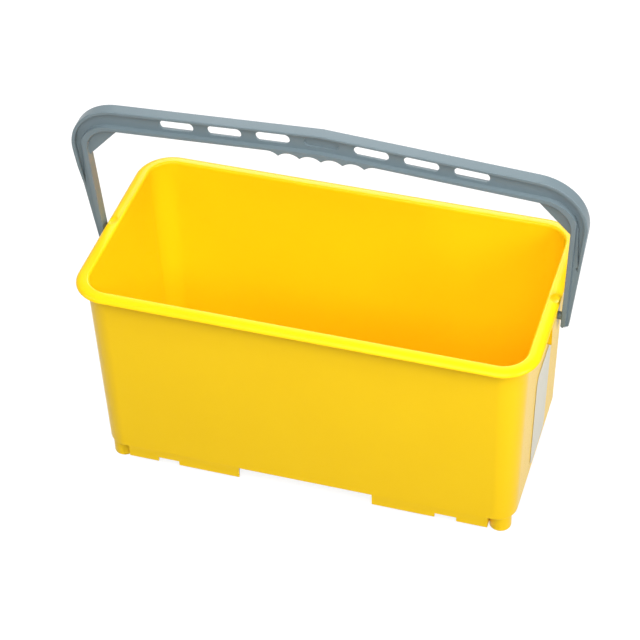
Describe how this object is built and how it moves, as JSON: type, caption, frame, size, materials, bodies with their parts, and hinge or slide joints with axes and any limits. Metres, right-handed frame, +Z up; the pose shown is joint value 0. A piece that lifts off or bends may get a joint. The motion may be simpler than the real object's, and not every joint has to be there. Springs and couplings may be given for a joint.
{
  "type": "rectangular cleaning bucket",
  "caption": "Rectangular plastic bucket with a rolled rim, notched skirt and feet, and a swing-up bail handle with a finger grip, for window washing tools.",
  "frame": {"origin": "on the ground under the middle of the bucket", "axes": "+X along the bucket's length towards the labelled end, +Y towards the back, +Z up"},
  "size_m": [0.5716, 0.265, 0.4421],
  "materials": {
    "yellow_plastic": "satin-gloss injection-moulded polypropylene",
    "grey_plastic": "satin injection-moulded polypropylene",
    "label_film": "smooth self-adhesive film"
  },
  "bodies": {
    "tub": {"tub": "yellow_plastic", "end_label": "label_film"},
    "handle": {"bail_handle": "grey_plastic"}
  },
  "joints": [
    {"name": "handle_swing", "type": "hinge", "parent": "tub", "child": "handle", "pos_m": [0, 0, 0.2375], "axis": [1, 0, 0], "range_deg": [-134, 127]}
  ]
}
